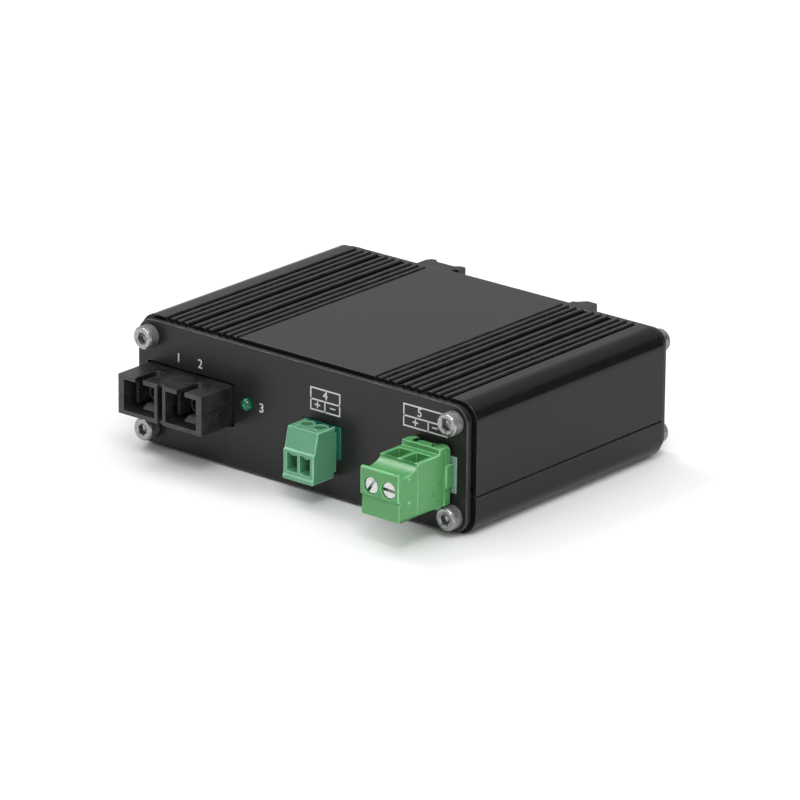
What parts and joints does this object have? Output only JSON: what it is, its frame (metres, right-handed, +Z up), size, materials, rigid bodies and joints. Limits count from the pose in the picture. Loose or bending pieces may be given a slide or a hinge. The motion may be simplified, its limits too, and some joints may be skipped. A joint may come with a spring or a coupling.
{
  "type": "fibre media converter",
  "caption": "Fibre media converter in a finned black aluminium case, with a duplex fibre port, pull-off screw terminals, a status lamp and a sprung rail clip on its back.",
  "frame": {"origin": "middle of the case's flat underside, halfway along the extruded shells", "axes": "+X from the fibre port towards the power terminal, +Y from the front plate to the rail clip, +Z up"},
  "size_m": [0.1, 0.1007, 0.0314],
  "materials": {
    "case_finish": "satin black anodised",
    "plate_finish": "satin black anodised",
    "gasket_rubber": "matt",
    "stainless": "knurled and turned",
    "black_screw": "black oxide",
    "board_laminate": "satin green solder mask",
    "optic_black": "fine matt",
    "barrel_metal": "turned",
    "tinned_pins": "tinned",
    "lamp_green": "tinted clear",
    "socket_teal": "moulded",
    "data_green": "moulded",
    "socket_green": "moulded",
    "power_green": "moulded",
    "contact_brass": "stamped",
    "clamp_zinc": "zinc plated",
    "capacitor_sleeve": "sleeved",
    "choke_ferrite": "matt",
    "module_black": "matt",
    "chip_black": "matt",
    "can_metal": "drawn",
    "ceramic_parts": "matt",
    "clip_black": "fine matt",
    "spring_steel": "drawn wire"
  },
  "bodies": {
    "case": {"upper_shell": "case_finish", "lower_shell": "case_finish", "front_plate": "plate_finish", "rear_plate": "plate_finish", "front_gasket": "gasket_rubber", "rear_gasket": "gasket_rubber", "front_plate_screws": "stainless", "rear_plate_screws": "stainless", "main_board": "board_laminate", "transceiver_lower_half": "optic_black", "transceiver_upper_half": "optic_black", "transmit_barrel": "barrel_metal", "receive_barrel": "barrel_metal", "transceiver_board": "board_laminate", "transceiver_pins": "tinned_pins", "status_lamp": "lamp_green", "status_lamp_leads": "tinned_pins", "data_header": "socket_teal", "data_header_pins": "tinned_pins", "power_header": "socket_green", "power_header_pins": "tinned_pins", "storage_capacitors": "capacitor_sleeve", "filter_choke": "choke_ferrite", "power_module": "module_black", "crystal_can": "can_metal", "surface_parts": "ceramic_parts", "logic_chip": "chip_black", "logic_chip_legs": "tinned_pins", "line_chips": "chip_black", "line_chip_legs": "tinned_pins", "clip_base": "clip_black", "clip_screws": "black_screw", "clip_spring": "spring_steel"},
    "data_plug": {"data_plug": "data_green", "data_plug_contacts": "contact_brass"},
    "power_plug": {"power_plug": "power_green", "power_plug_contacts": "contact_brass"},
    "rail_latch": {"clip_latch": "clip_black", "latch_slide": "clip_black", "latch_screw": "stainless"},
    "data_clamp_screw_1": {"data_clamp_screw_1": "clamp_zinc"},
    "data_clamp_cage_1": {"data_clamp_cage_1": "clamp_zinc"},
    "data_clamp_screw_2": {"data_clamp_screw_2": "clamp_zinc"},
    "data_clamp_cage_2": {"data_clamp_cage_2": "clamp_zinc"},
    "power_clamp_screw_1": {"power_clamp_screw_1": "clamp_zinc"},
    "power_clamp_cage_1": {"power_clamp_cage_1": "clamp_zinc"},
    "power_clamp_screw_2": {"power_clamp_screw_2": "clamp_zinc"},
    "power_clamp_cage_2": {"power_clamp_cage_2": "clamp_zinc"}
  },
  "joints": [
    {"name": "data_plug_pull", "type": "slide", "parent": "case", "child": "data_plug", "axis": [0, -1, 0], "range_m": [0, 0.01]},
    {"name": "power_plug_pull", "type": "slide", "parent": "case", "child": "power_plug", "axis": [0, -1, 0], "range_m": [0, 0.012]},
    {"name": "rail_latch_slide", "type": "slide", "parent": "case", "child": "rail_latch", "axis": [-1, 0, 0], "range_m": [0, 0.003], "stiffness_N_per_m": 900, "springref_m": -0.004, "deforming": ["clip_spring"]},
    {"name": "data_screw_turn_1", "type": "hinge", "parent": "data_plug", "child": "data_clamp_screw_1", "pos_m": [0.00475, -0.039, 0.0125], "axis": [0, 0, -1], "range_deg": [0, 1080]},
    {"name": "data_cage_rise_1", "type": "slide", "parent": "data_plug", "child": "data_clamp_cage_1", "axis": [0, 0, 1], "range_m": [0, 0.0015]},
    {"name": "data_screw_turn_2", "type": "hinge", "parent": "data_plug", "child": "data_clamp_screw_2", "pos_m": [0.00856, -0.039, 0.0125], "axis": [0, 0, -1], "range_deg": [0, 1080]},
    {"name": "data_cage_rise_2", "type": "slide", "parent": "data_plug", "child": "data_clamp_cage_2", "axis": [0, 0, 1], "range_m": [0, 0.0015]},
    {"name": "power_screw_turn_1", "type": "hinge", "parent": "power_plug", "child": "power_clamp_screw_1", "pos_m": [0.03656, -0.05, 0.01485], "axis": [0, 1, 0], "range_deg": [0, 1440]},
    {"name": "power_cage_rise_1", "type": "slide", "parent": "power_plug", "child": "power_clamp_cage_1", "axis": [0, -1, 0], "range_m": [0, 0.002]},
    {"name": "power_screw_turn_2", "type": "hinge", "parent": "power_plug", "child": "power_clamp_screw_2", "pos_m": [0.04164, -0.05, 0.01485], "axis": [0, 1, 0], "range_deg": [0, 1440]},
    {"name": "power_cage_rise_2", "type": "slide", "parent": "power_plug", "child": "power_clamp_cage_2", "axis": [0, -1, 0], "range_m": [0, 0.002]}
  ],
  "couplings": [
    {"joint": "data_screw_turn_1", "follows": "data_cage_rise_1", "rad_per_m": 12566},
    {"joint": "data_screw_turn_2", "follows": "data_cage_rise_2", "rad_per_m": 12566},
    {"joint": "power_screw_turn_1", "follows": "power_cage_rise_1", "rad_per_m": 12566},
    {"joint": "power_screw_turn_2", "follows": "power_cage_rise_2", "rad_per_m": 12566}
  ]
}
